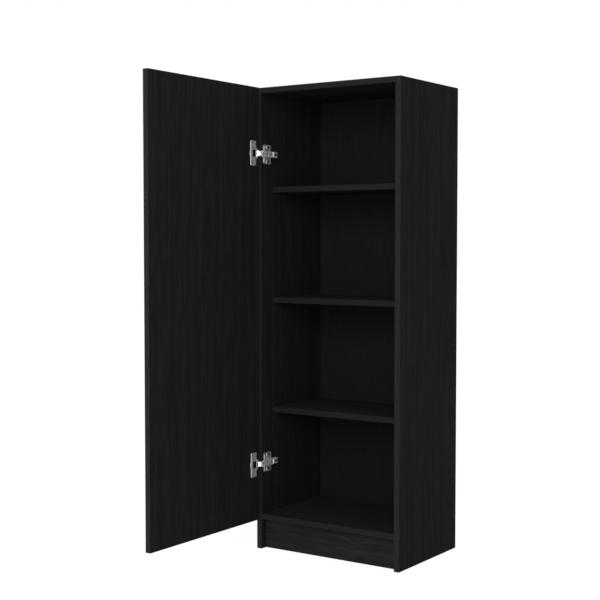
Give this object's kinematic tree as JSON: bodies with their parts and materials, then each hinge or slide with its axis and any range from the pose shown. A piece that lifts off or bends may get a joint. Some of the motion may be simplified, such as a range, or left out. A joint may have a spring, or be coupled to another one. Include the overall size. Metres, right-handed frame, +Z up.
{
  "type": "pantry cabinet",
  "caption": "Tall free-standing pantry cabinet with fixed shelves, a plinth and one full-height door that swings on concealed cup hinges.",
  "frame": {"origin": "middle of the plinth board's underside, on the floor", "axes": "+Z up, +Y towards the cabinet's back, +X towards its right side; the door opens towards -Y"},
  "size_m": [0.444, 0.7631, 1.244],
  "materials": {
    "laminate_upright": "black wood-grain laminate, grain upright",
    "laminate_level": "black wood-grain laminate, grain along the board",
    "edge_strip": "black wood-grain edge strip",
    "back_board": "black printed hardboard",
    "bright_nickel": "polished nickel plate",
    "hinge_steel": "satin nickel plate",
    "spring_steel": "oiled spring wire",
    "screw_steel": "zinc plated",
    "cam_zinc": "die-cast zinc",
    "cap_plastic": "black moulded cap",
    "dowel_beech": "plain beech"
  },
  "bodies": {
    "carcass": {"arm_adjusting_screws": "screw_steel", "arm_fixing_screws": "screw_steel", "arm_pins": "screw_steel", "back_panel": "back_board", "bottom_edge_strip": "edge_strip", "bottom_panel": "laminate_level", "cam_bolts": "screw_steel", "cam_caps": "cap_plastic", "cam_housings": "cam_zinc", "hinge_arm_lower": "hinge_steel", "hinge_arm_upper": "hinge_steel", "hinge_plate_lower": "hinge_steel", "hinge_plate_upper": "hinge_steel", "hinge_spring_lower": "spring_steel", "hinge_spring_upper": "spring_steel", "plate_screws": "screw_steel", "plinth_board": "laminate_level", "shelf_lower": "laminate_level", "shelf_lower_edge_strip": "edge_strip", "shelf_middle": "laminate_level", "shelf_middle_edge_strip": "edge_strip", "shelf_upper": "laminate_level", "shelf_upper_edge_strip": "edge_strip", "side_left": "laminate_upright", "side_left_edge_strip": "edge_strip", "side_right": "laminate_upright", "side_right_edge_strip": "edge_strip", "top_edge_strip": "edge_strip", "top_panel": "laminate_level", "wooden_dowels": "dowel_beech"},
    "hinge_links": {"hinge_link_upper": "bright_nickel", "hinge_link_lower": "bright_nickel"},
    "door": {"cup_pins": "screw_steel", "cup_screws": "screw_steel", "door_bottom_edge_strip": "edge_strip", "door_hinge_edge_strip": "edge_strip", "door_latch_edge_strip": "edge_strip", "door_panel": "laminate_upright", "door_top_edge_strip": "edge_strip", "hinge_cup_lower": "bright_nickel", "hinge_cup_upper": "bright_nickel"}
  },
  "joints": [
    {"name": "link_swing", "type": "hinge", "parent": "carcass", "child": "hinge_links", "pos_m": [-0.196, -0.0374, 0.6515], "axis": [0, 0, 1], "range_deg": [-65.4, 14.53]},
    {"name": "door_swing", "type": "hinge", "parent": "hinge_links", "child": "door", "pos_m": [-0.20667, -0.05063, 0.6515], "axis": [0, 0, 1], "range_deg": [-34.53, 155.4]}
  ],
  "couplings": [
    {"joint": "link_swing", "follows": "door_swing", "ratio": -0.42085}
  ]
}
